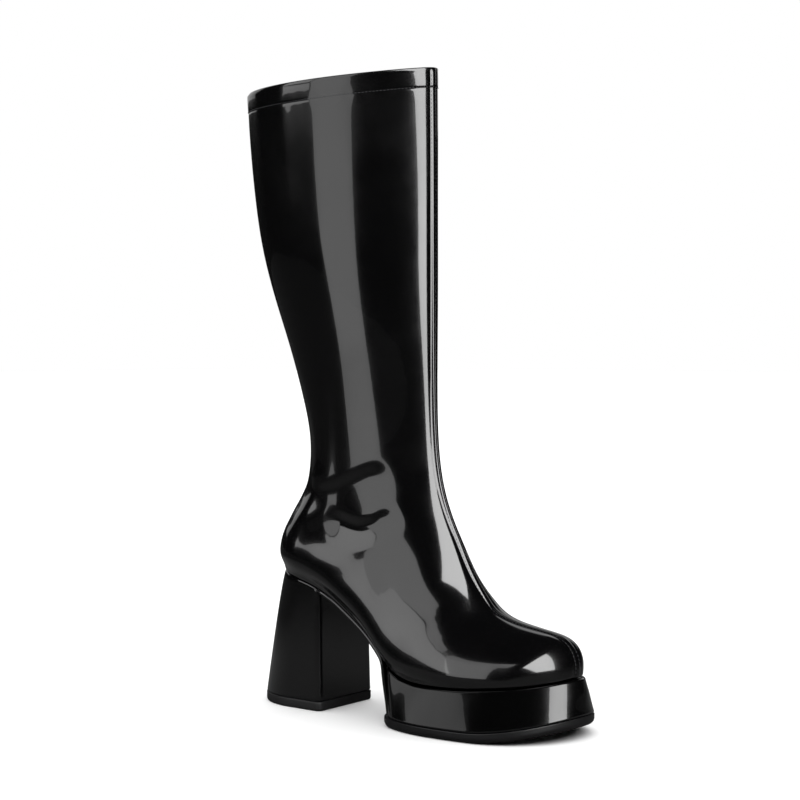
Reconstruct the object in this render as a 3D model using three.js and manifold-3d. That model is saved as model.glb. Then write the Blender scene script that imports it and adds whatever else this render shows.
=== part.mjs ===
// Knee-high platform boot for the right foot: hollow glossy upper, insole, platform, outsole, heel.
// Millimetres. +X points to the toe, +Y to the inner (medial) side, +Z up.
// The origin is the middle of the heel's ground face.
import * as THREE from 'three';
import Module from 'manifold-3d';

const { Manifold, Mesh } = await startManifold();

// Driving sizes
const footLength = 232; // level distance from the back of the heel seat to the toe, at the feather edge
const ballWidth = 87; // width across the ball at the feather edge
const heelHeight = 95; // ground to the feather edge at the back of the heel
const ballHeight = 31; // ground to the feather edge at the ball
const shaftTop = 435.5; // ground to the collar at the front
const collarDrop = 17; // how much lower the collar is at the back than at the front
const shaftWidth = 97; // width of the shaft at the collar
const wall = 1.7; // upper's wall: patent outside with lining inside
const hemHeight = 13.5; // folded band at the collar
const hemStep = 0.7; // how far the band and the front seam stand out
const seamHalfWidth = 1.8; // half the width of the raised front seam
const marginWidth = 12; // lasting margin turned in under the insole
const insoleThick = 2.4;
const waistThick = 2.8; // outsole layer under the waist and behind the platform
const treadThick = 6.5; // outsole under the platform
const treadGroove = 1.6;
const platformLedge = 1.6; // how far the platform's top edge stands out from the upper
const toeFlare = 5.4; // how far the tread runs out past the toe
const toeSpring = 9.3; // rise of the ground face at the toe
const heelFlare = 17.6; // how far the heel runs out backwards from top to ground
const heelFaceWidth = 58;
const heelCorner = 4; // rounding of the heel's front corners
const heelPieceThick = 6.4; // top piece on the ground
const gap = 0.3; // between pieces that meet
const sideSwell = { lateral: 5, medial: 3 }; // how far the foot's sides stand out over the feather edge
const swellRise = { heel: 15, toe: 8 }; // height above the feather edge where they stand out most
const swellFade = 50; // height over which the swell melts away above that
const ankleMelt = 8; // height above the ankle at which the foot's widths have given way to the shaft's
const heelRound = { top: 31, ground: 36.8 }; // how far inside its back the heel meets its full width

// Where things lie along the foot, as shares of footLength from the back of the heel seat
const breastAt = 0.2005;
const platformBackAt = 0.4487;
const springFromAt = 0.755;
const toeX = footLength;
const heelBackGround = -heelFlare;
const breastX = breastAt * footLength;
const originX = (heelBackGround + breastX) / 2;

// Feather edge from the side: along is a share of footLength,
// rise a share of the height from the ball up to the back of the heel
const featherTable = [
  { along: 0, rise: 1 },
  { along: 0.069, rise: 0.952 },
  { along: 0.153, rise: 0.886 },
  { along: 0.204, rise: 0.823 },
  { along: 0.252, rise: 0.744 },
  { along: 0.292, rise: 0.653 },
  { along: 0.335, rise: 0.549 },
  { along: 0.382, rise: 0.42 },
  { along: 0.42, rise: 0.289 },
  { along: 0.45, rise: 0.171 },
  { along: 0.483, rise: 0.082 },
  { along: 0.523, rise: 0.025 },
  { along: 0.592, rise: 0 },
  { along: 0.686, rise: 0.0125 },
  { along: 0.763, rise: 0.028 },
  { along: 0.84, rise: 0.053 },
  { along: 0.935, rise: 0.087 },
  { along: 1, rise: 0.127 },
];

// Front centre line from the toe's feather edge to the collar:
// rise is a share of the height from the ball up to the collar
const frontTable = [
  { along: 1, rise: 0.0202 },
  { along: 1.0017, rise: 0.038 },
  { along: 0.994, rise: 0.0578 },
  { along: 0.9747, rise: 0.0746 },
  { along: 0.9413, rise: 0.0864 },
  { along: 0.8877, rise: 0.0921 },
  { along: 0.8370, rise: 0.0966 },
  { along: 0.7810, rise: 0.104 },
  { along: 0.7336, rise: 0.1168 },
  { along: 0.6970, rise: 0.1404 },
  { along: 0.6569, rise: 0.1749 },
  { along: 0.6155, rise: 0.2234 },
  { along: 0.5768, rise: 0.2697 },
  { along: 0.5526, rise: 0.3067 },
  { along: 0.5379, rise: 0.3448 },
  { along: 0.5310, rise: 0.3916 },
  { along: 0.5276, rise: 0.4532 },
  { along: 0.5255, rise: 0.5517 },
  { along: 0.5250, rise: 0.687 },
  { along: 0.5245, rise: 0.835 },
  { along: 0.5232, rise: 0.9458 },
  { along: 0.5211, rise: 1 },
];

// Back centre line from the heel's feather edge to the collar:
// rise is a share of the height from the heel's feather edge to the back of the collar
const backTable = [
  { along: 0.0000, rise: 0 },
  { along: 0.0025, rise: 0.0306 },
  { along: 0.0055, rise: 0.0581 },
  { along: 0.0141, rise: 0.0887 },
  { along: 0.0395, rise: 0.1254 },
  { along: 0.0704, rise: 0.1621 },
  { along: 0.0928, rise: 0.1988 },
  { along: 0.0998, rise: 0.2446 },
  { along: 0.0978, rise: 0.2905 },
  { along: 0.0746, rise: 0.3517 },
  { along: 0.0361, rise: 0.4434 },
  { along: -0.0286, rise: 0.5657 },
  { along: -0.0779, rise: 0.6881 },
  { along: -0.1007, rise: 0.8104 },
  { along: -0.1174, rise: 0.9327 },
  { along: -0.1220, rise: 1 },
];

// Half widths of the foot from the seam line, before the ends are rounded, as shares of ballWidth
const footTable = [
  { along: 0, lateral: 0.325, medial: 0.325 },
  { along: 0.11, lateral: 0.334, medial: 0.331 },
  { along: 0.22, lateral: 0.339, medial: 0.316 },
  { along: 0.35, lateral: 0.35, medial: 0.278 },
  { along: 0.43, lateral: 0.37, medial: 0.266 },
  { along: 0.52, lateral: 0.422, medial: 0.292 },
  { along: 0.605, lateral: 0.48, medial: 0.362 },
  { along: 0.67, lateral: 0.518, medial: 0.425 },
  { along: 0.735, lateral: 0.538, medial: 0.46 },
  { along: 0.82, lateral: 0.522, medial: 0.458 },
  { along: 0.87, lateral: 0.48, medial: 0.408 },
  { along: 0.935, lateral: 0.42, medial: 0.335 },
  { along: 1, lateral: 0.36, medial: 0.25 },
];

// Half widths of the heel, ankle and shaft: rise as for the back line, width as a share of shaftWidth
const shaftTable = [
  { rise: 0, width: 0.294 },
  { rise: 0.0306, width: 0.307 },
  { rise: 0.0581, width: 0.316 },
  { rise: 0.0887, width: 0.323 },
  { rise: 0.1254, width: 0.327 },
  { rise: 0.1621, width: 0.328 },
  { rise: 0.1988, width: 0.328 },
  { rise: 0.2446, width: 0.329 },
  { rise: 0.2905, width: 0.334 },
  { rise: 0.3517, width: 0.349 },
  { rise: 0.4434, width: 0.377 },
  { rise: 0.5657, width: 0.426 },
  { rise: 0.6881, width: 0.464 },
  { rise: 0.8104, width: 0.481 },
  { rise: 0.9327, width: 0.494 },
  { rise: 1.1, width: 0.5 },
];

// Sideways shift of the seam line towards the inner side, as a share of footLength
const swingTable = [
  { along: -0.3, shift: 0 },
  { along: 0.22, shift: 0 },
  { along: 0.35, shift: 0.0013 },
  { along: 0.476, shift: 0.0043 },
  { along: 0.647, shift: 0.0135 },
  { along: 0.819, shift: 0.029 },
  { along: 1.06, shift: 0.052 },
];

// Rounding towards the front line: part is the share of the front line's length,
// reach how far inside the full width is met, ridge how sharp the edge is (0 round, 1 knife)
const frontRounding = [
  { part: 0, reach: 29, ridge: 0 },
  { part: 0.1, reach: 31, ridge: 0.05 },
  { part: 0.18, reach: 36, ridge: 0.15 },
  { part: 0.25, reach: 50, ridge: 0.35 },
  { part: 0.33, reach: 60, ridge: 0.45 },
  { part: 0.45, reach: 60, ridge: 0.5 },
  { part: 0.6, reach: 62, ridge: 0.5 },
  { part: 0.8, reach: 78, ridge: 0.5 },
  { part: 1, reach: 83, ridge: 0.45 },
];
const backRounding = [
  { part: 0, reach: 31, ridge: 0 },
  { part: 0.12, reach: 33, ridge: 0 },
  { part: 0.27, reach: 40, ridge: 0.05 },
  { part: 0.5, reach: 52, ridge: 0.05 },
  { part: 0.8, reach: 66, ridge: 0.05 },
  { part: 1, reach: 68, ridge: 0.05 },
];

// Curves from the tables
const featherRise = column(featherTable, 'along', 'rise');
const swing = column(swingTable, 'along', 'shift');
const lateralShare = column(footTable, 'along', 'lateral');
const medialShare = column(footTable, 'along', 'medial');
const shaftShare = column(shaftTable, 'rise', 'width');
const frontReach = column(frontRounding, 'part', 'reach');
const frontRidge = column(frontRounding, 'part', 'ridge');
const backReach = column(backRounding, 'part', 'reach');
const backRidge = column(backRounding, 'part', 'ridge');
const backTop = shaftTop - collarDrop;
const front = profileLine(frontTable, ballHeight, shaftTop);
const back = profileLine(backTable, heelHeight, backTop);

function startManifold() {
  return Module().then((wasm) => {
    wasm.setup();
    return wasm;
  });
}

// Smooth curve through two columns of a table that never overshoots its rows
function column(table, from, to) {
  const x = table.map((row) => row[from]);
  const y = table.map((row) => row[to]);
  return throughPoints(x, y);
}

function throughPoints(x, y) {
  const n = x.length;
  const step = [];
  const slope = [];
  for (let i = 0; i < n - 1; i++) {
    step.push(x[i + 1] - x[i]);
    slope.push((y[i + 1] - y[i]) / step[i]);
  }
  const tangent = [slope[0]];
  for (let i = 1; i < n - 1; i++) {
    if (slope[i - 1] * slope[i] <= 0) {
      tangent.push(0);
    } else {
      const a = 2 * step[i] + step[i - 1];
      const b = step[i] + 2 * step[i - 1];
      tangent.push((a + b) / (a / slope[i - 1] + b / slope[i]));
    }
  }
  tangent.push(slope[n - 2]);
  return (at) => {
    const v = Math.min(Math.max(at, x[0]), x[n - 1]);
    let i = 0;
    while (i < n - 2 && v > x[i + 1]) {
      i++;
    }
    const t = (v - x[i]) / step[i];
    const h = step[i];
    const keep = (1 + 2 * t) * (1 - t) ** 2 * y[i] + t * (1 - t) ** 2 * h * tangent[i];
    const next = t * t * (3 - 2 * t) * y[i + 1] + t * t * (t - 1) * h * tangent[i + 1];
    return keep + next;
  };
}

// A centre line seen from the side, by share of its length, with the distance to it
function profileLine(table, low, high) {
  const x = table.map((row) => row.along * footLength);
  const z = table.map((row) => low + row.rise * (high - low));
  const length = [0];
  for (let i = 1; i < x.length; i++) {
    length.push(length[i - 1] + Math.hypot(x[i] - x[i - 1], z[i] - z[i - 1]));
  }
  const total = length[length.length - 1];
  const xAt = throughPoints(length, x);
  const zAt = throughPoints(length, z);
  const at = (part) => [xAt(part * total), zAt(part * total)];
  const samples = [];
  const count = 240;
  for (let i = 0; i <= count; i++) {
    samples.push(at(i / count));
  }
  const nearest = (px, pz) => {
    let best = { distance: Infinity, part: 0 };
    for (let i = 0; i < count; i++) {
      const [ax, az] = samples[i];
      const [bx, bz] = samples[i + 1];
      const dx = bx - ax;
      const dz = bz - az;
      const t = Math.min(Math.max(((px - ax) * dx + (pz - az) * dz) / (dx * dx + dz * dz), 0), 1);
      const distance = Math.hypot(px - ax - t * dx, pz - az - t * dz);
      if (distance < best.distance) {
        best = { distance, part: (i + t) / count };
      }
    }
    return best;
  };
  return { at, nearest, total };
}

function smooth(t) {
  const s = Math.min(Math.max(t, 0), 1);
  return s * s * (3 - 2 * s);
}

function mix(a, b, t) {
  return a + (b - a) * t;
}

// Full width share at a distance inside an edge: a round edge mixed with a sharp one
function rounded(distance, reach, ridge) {
  const t = Math.min(Math.max(distance / reach, 0), 1);
  const round = Math.sqrt(1 - (1 - t) ** 2);
  const sharp = Math.sin((Math.PI / 2) * t);
  return mix(round, sharp, ridge);
}

function featherZ(x) {
  return ballHeight + featherRise(x / footLength) * (heelHeight - ballHeight);
}

function seamY(x) {
  return swing(x / footLength) * footLength;
}

// Share of the side's swell at a place in the side view, less towards the toe
function swell(x, height) {
  const rise = mix(swellRise.heel, swellRise.toe, smooth((x / footLength - 0.3) / 0.4));
  const up = smooth(height / rise) * (1 - smooth((height - rise) / swellFade));
  return up * mix(1, 0.4, smooth((x / footLength - 0.55) / 0.35));
}

// Half width at a place in the side view, from the seam line; side is -1 outer, +1 inner
function halfWidth(x, z, side) {
  const share = side < 0 ? lateralShare : medialShare;
  const foot = share(x / footLength) * ballWidth;
  const shaft = shaftShare((z - heelHeight) / (backTop - heelHeight)) * shaftWidth;
  const low = featherZ(x);
  const ankle = heelHeight + 0.5 * ballWidth;
  const most = side < 0 ? sideSwell.lateral : sideSwell.medial;
  const form = mix(foot, shaft, smooth((z - low) / (ankle - low + ankleMelt)));
  const width = form + most * swell(x, z - low);
  const toFront = front.nearest(x, z);
  const toBack = back.nearest(x, z);
  const fore = rounded(toFront.distance, frontReach(toFront.part), frontRidge(toFront.part));
  const aft = rounded(toBack.distance, backReach(toBack.part), backRidge(toBack.part));
  return width * fore * aft;
}

// Side view of the upper as levels between the front and back lines:
// low ones follow the feather edge, and from the ankle up they are straight
const footRows = 14;
const shaftRows = 12;
const ankleLevel = 0.42;
const frontLevel = throughPoints([0, ankleLevel, 1], [0, 0.43, 1]);
const backLevel = throughPoints([0, ankleLevel, 1], [0, 0.27, 1]);

function sidePoint(u, v) {
  const [fx, fz] = front.at(frontLevel(v));
  const [bx, bz] = back.at(backLevel(v));
  const x = mix(fx, bx, u);
  const lift = mix(fz - featherZ(fx), bz - featherZ(bx), u);
  return [x, mix(featherZ(x) + lift, mix(fz, bz, u), smooth(v / ankleLevel))];
}

function skinPoint(u, v, side) {
  const [x, z] = sidePoint(u, v);
  const reach = u <= 0 || u >= 1 ? 0 : halfWidth(x, z, side);
  return new THREE.Vector3(x, seamY(x) + side * reach, z);
}

function skinNormal(u, v, side) {
  const e = 0.004;
  const uLow = u < e ? skinPoint(e - u, v, -side) : skinPoint(u - e, v, side);
  const uHigh = u > 1 - e ? skinPoint(2 - u - e, v, -side) : skinPoint(u + e, v, side);
  const vLow = skinPoint(u, Math.max(v - e, 0), side);
  const vHigh = skinPoint(u, Math.min(v + e, 1), side);
  const along = uHigh.sub(uLow);
  const upward = vHigh.sub(vLow);
  return along.cross(upward).normalize().multiplyScalar(-side);
}

// Ring stations: the front seam's two edges, then even steps round to the back
const ringSteps = 24;

function findSeamEdge(v, side) {
  let low = 0;
  let high = 0.2;
  for (let i = 0; i < 24; i++) {
    const mid = (low + high) / 2;
    const [x, z] = sidePoint(mid, v);
    if (halfWidth(x, z, side) < seamHalfWidth) {
      low = mid;
    } else {
      high = mid;
    }
  }
  return high;
}

function ringStations(v, side) {
  const edge = findSeamEdge(v, side);
  const start = Math.acos(1 - 2 * edge * 1.35) / Math.PI;
  const list = [0, edge];
  for (let i = 0; i <= ringSteps - 2; i++) {
    const turn = mix(start, 1, i / (ringSteps - 2));
    list.push((1 - Math.cos(Math.PI * turn)) / 2);
  }
  return list;
}

// Levels up the upper, with two close together where the collar band starts
function levels() {
  const list = [];
  for (let i = 0; i <= footRows; i++) {
    list.push({ v: ankleLevel * (i / footRows) ** 1.2, proud: 0 });
  }
  const hem = 1 - hemHeight / ((front.total * (1 - 0.43)) / (1 - ankleLevel));
  for (let i = 1; i <= shaftRows; i++) {
    list.push({ v: mix(ankleLevel, hem, i / shaftRows), proud: 0 });
  }
  list.push({ v: hem + 0.002, proud: hemStep });
  list.push({ v: 0.5 * (hem + 1), proud: hemStep });
  list.push({ v: 1, proud: hemStep });
  return list;
}

// One ring of points round the upper, pushed out or in along the wall's normal
function ring(v, push, seamPush) {
  const outer = ringStations(v, -1);
  const inner = ringStations(v, 1);
  const place = (u, side, raised) => {
    const point = skinPoint(u, v, side);
    const normal = skinNormal(u, v, side);
    return point.addScaledVector(normal, push + raised);
  };
  const points = [place(0, -1, seamPush)];
  points.push(place(outer[1], -1, seamPush));
  for (let i = 2; i < outer.length; i++) {
    points.push(place(outer[i], -1, 0));
  }
  for (let i = inner.length - 2; i > 1; i--) {
    points.push(place(inner[i], 1, 0));
  }
  points.push(place(inner[1], 1, seamPush));
  return points;
}

// Half width at the feather edge
function edgeWidth(x, side) {
  return halfWidth(x, featherZ(x), side);
}

// Plan place moved in from the feather edge (out when negative), keeping its shape
function inset(x, y, distance) {
  const middle = footLength / 2;
  const newX = middle + (x - middle) * (1 - (2 * distance) / footLength);
  const side = y < seamY(x) ? lateralShare : medialShare;
  const local = side(x / footLength) * ballWidth;
  const newY = seamY(newX) + (y - seamY(x)) * (1 - distance / local);
  return [newX, newY];
}

function insetRing(points, distance, lift) {
  return points.map((point) => {
    const [x, y] = inset(point.x, point.y, distance);
    return new THREE.Vector3(x, y, featherZ(x) + lift);
  });
}

// Closed mesh from rings that follow one another round a wall
function wallMesh(rings) {
  const count = rings[0].length;
  const positions = [];
  const index = [];
  for (const points of rings) {
    for (const p of points) {
      positions.push(p.x - originX, p.y, p.z);
    }
  }
  for (let r = 0; r < rings.length; r++) {
    const a = r * count;
    const b = ((r + 1) % rings.length) * count;
    for (let i = 0; i < count; i++) {
      const j = (i + 1) % count;
      index.push(a + i, a + j, b + i);
      index.push(a + j, b + j, b + i);
    }
  }
  return closedGeometry(positions, index);
}

function upper() {
  const rows = levels();
  const outside = rows.map((row) => ring(row.v, row.proud, row.proud ? 0 : hemStep));
  const first = outside[0].map((p) => new THREE.Vector3(p.x, p.y, featherZ(Math.min(p.x, toeX))));
  outside[0] = first;
  const inside = rows.slice(1).map((row) => ring(row.v, -wall, 0));
  const base = ring(0, 0, 0);
  const corner = insetRing(base, wall, wall);
  const marginTop = insetRing(base, marginWidth, wall);
  const marginLow = insetRing(base, marginWidth, 0);
  const loop = [...outside, ...inside.reverse(), corner, marginTop, marginLow];
  return wallMesh(loop);
}

// Closed mesh from layers of rungs: each layer runs from back to front with two side points a rung
function layerMesh(layers) {
  const rungs = layers[0].length;
  const positions = [];
  const index = [];
  for (const layer of layers) {
    for (const { x, lateral, medial, z } of layer) {
      positions.push(x - originX, lateral, z, x - originX, medial, z);
    }
  }
  const id = (layer, rung, side) => 2 * (layer * rungs + rung) + side;
  const quad = (a, b, c, d) => index.push(a, b, c, a, c, d);
  const top = layers.length - 1;
  for (let i = 0; i < rungs - 1; i++) {
    quad(id(0, i, 0), id(0, i, 1), id(0, i + 1, 1), id(0, i + 1, 0));
    quad(id(top, i, 0), id(top, i + 1, 0), id(top, i + 1, 1), id(top, i, 1));
  }
  for (let k = 0; k < top; k++) {
    for (let i = 0; i < rungs - 1; i++) {
      quad(id(k, i, 0), id(k, i + 1, 0), id(k + 1, i + 1, 0), id(k + 1, i, 0));
      quad(id(k, i + 1, 1), id(k, i, 1), id(k + 1, i, 1), id(k + 1, i + 1, 1));
    }
    const last = rungs - 1;
    quad(id(k, 0, 1), id(k, 0, 0), id(k + 1, 0, 0), id(k + 1, 0, 1));
    quad(id(k, last, 0), id(k, last, 1), id(k + 1, last, 1), id(k + 1, last, 0));
  }
  return closedGeometry(positions, index);
}

// Stations from 0 to 1, closer together at the ends that are rounded
function stations(count, roundBack, roundFront) {
  const list = [];
  for (let i = 0; i <= count; i++) {
    const t = i / count;
    let s = t;
    if (roundBack && roundFront) {
      s = (1 - Math.cos(Math.PI * t)) / 2;
    } else if (roundFront) {
      s = Math.sin((Math.PI / 2) * t);
    } else if (roundBack) {
      s = 1 - Math.cos((Math.PI / 2) * t);
    }
    list.push(s);
  }
  return list;
}

// How much a square corner of this radius takes off the half width near an end
function cornerLoss(distance, radius) {
  const t = Math.min(Math.max(distance / radius, 0), 1);
  return radius * (1 - Math.sqrt(1 - (1 - t) ** 2));
}

function insoleLayer(distance, lift) {
  return stations(34, true, true).map((s) => {
    const x = mix(0.15, toeX - 0.15, s);
    const [lx, ly] = inset(x, seamY(x) - edgeWidth(x, -1), distance);
    const my = inset(x, seamY(x) + edgeWidth(x, 1), distance)[1];
    return { x: lx, lateral: ly, medial: my, z: featherZ(lx) + lift };
  });
}

function insole() {
  const plate = wall + gap;
  return layerMesh([
    insoleLayer(marginWidth + 0.6, gap),
    insoleLayer(marginWidth + 0.6, plate),
    insoleLayer(wall + gap + 0.2, plate),
    insoleLayer(wall + gap + 0.4, plate + insoleThick),
  ]);
}

function groundZ(x) {
  const t = Math.max((x / footLength - springFromAt) / (1.035 - springFromAt), 0);
  return toeSpring * t * t;
}

// Outline of the tread from its back edge to its toe: half widths from the seam line
// as shares of ballWidth, before corners and toe are rounded
const treadTable = [
  { part: 0, lateral: 0.445, medial: 0.31 },
  { part: 0.1, lateral: 0.51, medial: 0.345 },
  { part: 0.2, lateral: 0.57, medial: 0.4 },
  { part: 0.3, lateral: 0.605, medial: 0.455 },
  { part: 0.4, lateral: 0.62, medial: 0.487 },
  { part: 0.5, lateral: 0.627, medial: 0.498 },
  { part: 1, lateral: 0.627, medial: 0.498 },
];
const treadLateral = column(treadTable, 'part', 'lateral');
const treadMedial = column(treadTable, 'part', 'medial');
const forefootBack = platformBackAt * footLength;
const cornerRadius = { tread: 15, top: 9 }; // back corners of the platform and outsole
const toeReach = { lateral: 54, medial: 48 };

// One outline of the forefoot: share is 0 at the tread and 1 at the feather edge
function forefootLayer(share, out, backShift, height) {
  const spots = [0, 0.008, 0.02, 0.036, 0.056, 0.08];
  for (const s of stations(24, false, true).slice(1)) {
    spots.push(mix(0.08, 0.9996, s));
  }
  const start = forefootBack + backShift + 2.2 * (1 - share);
  const end = toeX + mix(toeFlare, platformLedge, share) + out;
  return spots.map((s) => {
    const x = mix(start, end, s);
    const from = mix(forefootBack, toeX, s);
    const loss = cornerLoss(x - start, mix(cornerRadius.tread, cornerRadius.top, share));
    const low = {
      lateral: treadLateral(s) * ballWidth * rounded(end - x, toeReach.lateral, 0),
      medial: treadMedial(s) * ballWidth * rounded(end - x, toeReach.medial, 0),
    };
    const grow = 1 + platformLedge / (0.5 * ballWidth);
    const lateral = mix(low.lateral, edgeWidth(from, -1) * grow, share);
    const medial = mix(low.medial, edgeWidth(from, 1) * grow, share);
    const spread = 1 + out / (0.5 * ballWidth);
    return {
      x,
      lateral: seamY(x) - lateral * spread + loss,
      medial: seamY(x) + medial * spread - loss,
      z: height(x, from),
    };
  });
}

function platform() {
  const low = (x) => groundZ(x) + treadThick + gap;
  const top = (x, from) => featherZ(from) - gap;
  const under = (x, from) => featherZ(from) - gap - 2.2;
  const midway = (share) => (x, from) => mix(low(x), under(x, from), share);
  return layerMesh([
    forefootLayer(0, -0.5, 0, low),
    forefootLayer(0.36, -0.4, 0, midway(0.36)),
    forefootLayer(0.72, -0.2, 0, midway(0.7)),
    forefootLayer(1, 0, 0, under),
    forefootLayer(1, -1.6, 0, top),
  ]);
}

// Outsole layer under the waist and down behind the platform: a strip along a side-view line
function waistLine() {
  const riserX = forefootBack - gap;
  const line = [];
  const count = 12;
  for (let i = 0; i <= count; i++) {
    const x = mix(breastX + gap, riserX - 1.5, i / count);
    line.push([x, featherZ(x) - gap]);
  }
  const top = featherZ(riserX) - gap;
  for (const share of [0.9, 0.75, 0.5, 0.12]) {
    line.push([riserX, top * share]);
  }
  return line;
}

const waistSpan = 0.985;

// The riser behind the platform leans forward to the tread
function lean(i, fold, z, top) {
  return i > fold ? 2.2 * (1 - z / top) : 0;
}

function waistStrip() {
  const line = waistLine();
  const lowSide = [];
  const highSide = [];
  const fold = line.length - 5;
  const top = line[fold][1];
  const lowLateral = treadLateral(0) * ballWidth - 0.7 * cornerRadius.tread;
  const lowMedial = treadMedial(0) * ballWidth - 0.7 * cornerRadius.tread;
  line.forEach(([x, z], i) => {
    const [ax, az] = line[Math.max(i - 1, 0)];
    const [bx, bz] = line[Math.min(i + 1, line.length - 1)];
    const size = Math.hypot(bx - ax, bz - az);
    const nx = i > fold ? 1 : -(bz - az) / size;
    const nz = i > fold ? 0 : (bx - ax) / size;
    const down = i > fold ? 1 - z / top : 0;
    const lateral = seamY(x) - mix(edgeWidth(x, -1) * waistSpan, lowLateral, down);
    const medial = seamY(x) + mix(edgeWidth(x, 1) * waistSpan, lowMedial, down);
    const back = x + lean(i, fold, z, top) - nx * waistThick;
    lowSide.push({ x: back, lateral, medial, z: z - nz * waistThick });
    highSide.push({ x: x + lean(i, fold, z, top), lateral, medial, z });
  });
  return layerMesh([lowSide, highSide]);
}

function tread() {
  const back = -(gap + waistThick);
  const top = (x) => groundZ(x) + treadThick;
  const side = (x) => groundZ(x) + 2.4;
  const ground = (x) => groundZ(x);
  return layerMesh([
    forefootLayer(0, -2.6, back + 1.8, ground),
    forefootLayer(0, 0.3, back, side),
    forefootLayer(0, 0.3, back, top),
  ]);
}

function outsole() {
  const body = toManifold(tread()).add(toManifold(waistStrip()));
  const cutters = [];
  const pitch = footLength / 19;
  for (let i = 0; i < 9; i++) {
    const x = forefootBack + 12 + i * pitch;
    if (i === 3 || i === 4) {
      continue;
    }
    const box = new THREE.BoxGeometry(2.6, ballWidth * 0.62, 2 * treadGroove);
    box.translate(x - originX, seamY(x), groundZ(x));
    cutters.push(toManifold(box));
  }
  const cut = Manifold.union(cutters);
  return fromManifold(body.subtract(cut));
}

// Heel section: share is 0 at the feather edge and 1 on the ground
function heelLayer(share, out, height) {
  const backX = mix(0.2, heelBackGround, share ** 0.85) - out;
  const frontX = mix(breastX - 0.9, breastX, share) + out;
  const half = 0.5 * heelFaceWidth;
  const spots = stations(20, true, false).map((s) => mix(0.0006, 0.86, s));
  spots.push(0.9, 0.93, 0.955, 0.975, 0.99, 1);
  return spots.map((s) => {
    const x = mix(backX, frontX, s);
    const seat = mix(0, breastX, s);
    const loss = cornerLoss(frontX - x, heelCorner);
    const round = rounded(x - backX, mix(heelRound.top, heelRound.ground, share), 0);
    const lateral = -(mix(lateralShare(seat / footLength) * ballWidth - 0.4, half, share) + out);
    const medial = mix(medialShare(seat / footLength) * ballWidth - 0.4, half, share) + out;
    return {
      x,
      lateral: seamY(x) * (1 - share) + lateral * round + loss,
      medial: seamY(x) * (1 - share) + medial * round - loss,
      z: height(x),
    };
  });
}

function heel() {
  const low = heelPieceThick + gap;
  const lift = (share) => (x) => mix(featherZ(x) - gap, low, share);
  const shares = [1, 0.8, 0.55, 0.3, 0.1, 0];
  return layerMesh(shares.map((share) => heelLayer(share, 0, lift(share))));
}

function topPiece() {
  return layerMesh([
    heelLayer(1, -0.8, () => 0),
    heelLayer(1, 0.3, () => 1.2),
    heelLayer(1, 0.3, () => heelPieceThick),
  ]);
}

// Mesh helpers
function closedGeometry(positions, index) {
  const geometry = new THREE.BufferGeometry();
  geometry.setAttribute('position', new THREE.Float32BufferAttribute(positions, 3));
  geometry.setIndex(index);
  if (signedVolume(positions, index) < 0) {
    for (let i = 0; i < index.length; i += 3) {
      [index[i], index[i + 1]] = [index[i + 1], index[i]];
    }
    geometry.setIndex(index);
  }
  return geometry;
}

function signedVolume(positions, index) {
  let sum = 0;
  const corner = (i) => new THREE.Vector3().fromArray(positions, 3 * i);
  for (let i = 0; i < index.length; i += 3) {
    const [a, b, c] = [corner(index[i]), corner(index[i + 1]), corner(index[i + 2])];
    sum += a.dot(b.cross(c)) / 6;
  }
  return sum;
}

function toManifold(geometry) {
  const position = geometry.attributes.position;
  const mesh = new Mesh({
    numProp: 3,
    vertProperties: new Float32Array(position.array),
    triVerts: new Uint32Array(geometry.index.array),
  });
  mesh.merge();
  return new Manifold(mesh);
}

function fromManifold(solid) {
  const mesh = solid.getMesh();
  const geometry = new THREE.BufferGeometry();
  geometry.setAttribute('position', new THREE.BufferAttribute(mesh.vertProperties, 3));
  geometry.setIndex(new THREE.BufferAttribute(mesh.triVerts, 1));
  return geometry;
}

function piece(name, geometry, color, roughness) {
  geometry.computeVertexNormals();
  const material = new THREE.MeshStandardMaterial({ color, roughness, metalness: 0 });
  const mesh = new THREE.Mesh(geometry, material);
  mesh.name = name;
  return mesh;
}

// Assembly
const boot = new THREE.Group();
boot.name = 'platform_boot';
boot.add(piece('upper', upper(), 0x0b0b0c, 0.12));
boot.add(piece('insole', insole(), 0x1a1a1a, 0.8));
boot.add(piece('platform', platform(), 0x0b0b0c, 0.14));
boot.add(piece('outsole', outsole(), 0x101010, 0.6));
boot.add(piece('heel', heel(), 0x0b0b0c, 0.14));
boot.add(piece('heel_top_piece', topPiece(), 0x101010, 0.6));

export default boot;
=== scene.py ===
"""Looks of the knee-high platform boot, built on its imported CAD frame.

Sizes are in millimetres in the boot's own frame (+X toe, +Y inner side, +Z up) until a mesh is made.
"""

import math

import bmesh
import bpy
import numpy as np
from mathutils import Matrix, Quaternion, Vector


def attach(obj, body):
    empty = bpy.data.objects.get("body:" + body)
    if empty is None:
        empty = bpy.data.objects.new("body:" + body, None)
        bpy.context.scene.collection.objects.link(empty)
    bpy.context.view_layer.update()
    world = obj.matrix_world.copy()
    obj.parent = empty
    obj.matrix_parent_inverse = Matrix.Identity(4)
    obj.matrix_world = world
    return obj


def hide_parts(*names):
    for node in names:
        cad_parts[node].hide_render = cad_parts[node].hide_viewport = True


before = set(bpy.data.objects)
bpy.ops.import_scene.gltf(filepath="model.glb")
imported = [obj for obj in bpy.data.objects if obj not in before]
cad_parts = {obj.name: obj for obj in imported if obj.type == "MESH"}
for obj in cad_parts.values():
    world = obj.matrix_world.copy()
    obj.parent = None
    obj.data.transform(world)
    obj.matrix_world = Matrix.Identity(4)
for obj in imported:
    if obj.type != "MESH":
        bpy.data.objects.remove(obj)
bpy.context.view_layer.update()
MM = 0.001

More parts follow.
